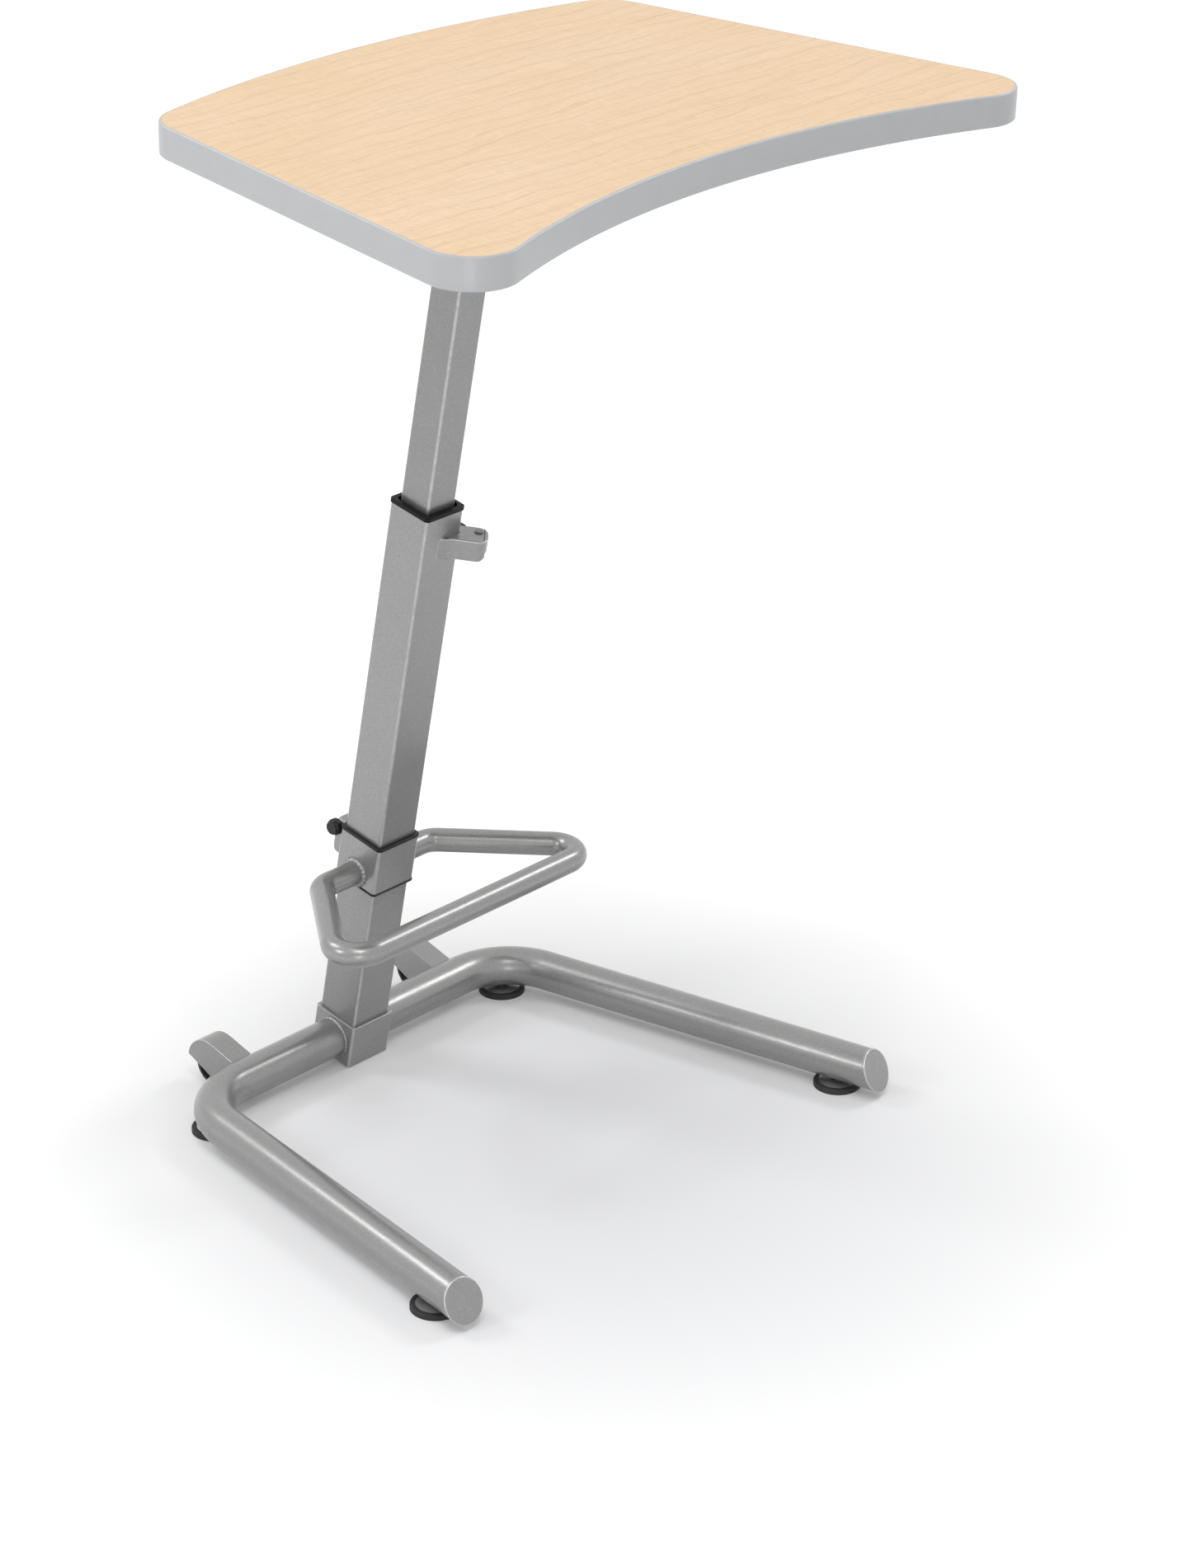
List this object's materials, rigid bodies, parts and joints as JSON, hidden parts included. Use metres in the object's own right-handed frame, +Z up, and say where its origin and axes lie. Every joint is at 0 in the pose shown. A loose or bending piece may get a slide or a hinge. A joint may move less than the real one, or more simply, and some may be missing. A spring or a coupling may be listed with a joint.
{
  "type": "height-adjustable stand-up desk",
  "caption": "Stand-up desk with a wood-look top on a leaning telescopic column, a sliding foot rest and a tilt-to-roll tube base.",
  "frame": {"origin": "on the floor, under the centre of the bounding box", "axes": "+X to the user's right, +Y to the rear away from the user, +Z up"},
  "size_m": [0.7472, 0.6324, 1.0886],
  "materials": {
    "grey_paint": "satin metallic powder coat",
    "black_plastic": "satin",
    "black_rubber": "matt",
    "steel": "zinc plated",
    "maple_laminate": "matt printed laminate",
    "board": "raw particle board",
    "backing": "matt",
    "edge_band": "satin"
  },
  "bodies": {
    "frame": {"base_socket": "grey_paint", "base_leg_left": "grey_paint", "base_leg_right": "grey_paint", "leg_cap_left": "grey_paint", "leg_cap_right": "grey_paint", "wheel_hood_left": "grey_paint", "wheel_hood_right": "grey_paint", "wheel_axle_left": "steel", "wheel_axle_right": "steel", "glide_inserts": "steel", "outer_column": "grey_paint", "column_bolts": "steel", "upper_bushing": "black_plastic", "height_latch_housing": "grey_paint", "height_latch_pin": "steel"},
    "height_lever": {"height_latch_lever": "black_plastic"},
    "height_shoe": {"height_brake_shoe": "black_plastic"},
    "top": {"inner_column": "grey_paint", "lower_bushing": "black_plastic", "top_plate": "grey_paint", "plate_screws": "steel", "top_board": "board", "top_laminate": "maple_laminate", "backing_sheet": "backing", "edge_band": "edge_band"},
    "foot_rest": {"foot_collar": "grey_paint", "collar_bush_top": "black_plastic", "collar_bush_low": "black_plastic", "foot_loop": "grey_paint", "foot_latch_housing": "grey_paint", "foot_latch_pin": "steel"},
    "foot_lever": {"foot_latch_lever": "black_plastic", "foot_latch_knob": "black_plastic"},
    "foot_shoe": {"foot_brake_shoe": "black_plastic"},
    "left_wheel": {"wheel_left": "black_rubber"},
    "right_wheel": {"wheel_right": "black_rubber"},
    "glide_rear_left": {"glide_ring_rear_left": "black_rubber", "glide_stem_rear_left": "steel"},
    "glide_rear_right": {"glide_ring_rear_right": "black_rubber", "glide_stem_rear_right": "steel"},
    "glide_front_left": {"glide_ring_front_left": "black_rubber", "glide_stem_front_left": "steel"},
    "glide_front_right": {"glide_ring_front_right": "black_rubber", "glide_stem_front_right": "steel"}
  },
  "joints": [
    {"name": "top_height", "type": "slide", "parent": "frame", "child": "top", "axis": [0, -0.1959, 0.9806], "range_m": [-0.381, 0]},
    {"name": "height_lever_turn", "type": "hinge", "parent": "frame", "child": "height_lever", "pos_m": [0.0404, 0.08543, 0.60657], "axis": [0, 0.1959, -0.9806], "range_deg": [0, 45]},
    {"name": "height_shoe_slide", "type": "slide", "parent": "frame", "child": "height_shoe", "axis": [1, 0, 0], "range_m": [0, 0.0012]},
    {"name": "foot_rest_height", "type": "slide", "parent": "frame", "child": "foot_rest", "axis": [0, -0.1959, 0.9806], "range_m": [-0.127, 0.254]},
    {"name": "foot_lever_turn", "type": "hinge", "parent": "foot_rest", "child": "foot_lever", "pos_m": [0.0142, 0.22789, 0.27536], "axis": [0, 0.1959, -0.9806], "range_deg": [0, 28]},
    {"name": "foot_shoe_slide", "type": "slide", "parent": "foot_rest", "child": "foot_shoe", "axis": [0, 0.9806, 0.1959], "range_m": [0, 0.001]},
    {"name": "left_wheel_roll", "type": "hinge", "parent": "frame", "child": "left_wheel", "pos_m": [-0.1457, 0.28751, 0.026], "axis": [1, 0, 0], "continuous": true},
    {"name": "right_wheel_roll", "type": "hinge", "parent": "frame", "child": "right_wheel", "pos_m": [0.1457, 0.28751, 0.026], "axis": [1, 0, 0], "continuous": true},
    {"name": "glide_rear_left_level", "type": "slide", "parent": "frame", "child": "glide_rear_left", "axis": [0, 0, -1], "range_m": [0, 0.008]},
    {"name": "glide_rear_right_level", "type": "slide", "parent": "frame", "child": "glide_rear_right", "axis": [0, 0, -1], "range_m": [0, 0.008]},
    {"name": "glide_front_left_level", "type": "slide", "parent": "frame", "child": "glide_front_left", "axis": [0, 0, -1], "range_m": [0, 0.008]},
    {"name": "glide_front_right_level", "type": "slide", "parent": "frame", "child": "glide_front_right", "axis": [0, 0, -1], "range_m": [0, 0.008]}
  ],
  "couplings": [
    {"joint": "height_shoe_slide", "follows": "height_lever_turn", "m_per_rad": 0.0015264},
    {"joint": "foot_shoe_slide", "follows": "foot_lever_turn", "m_per_rad": 0.0020442}
  ]
}
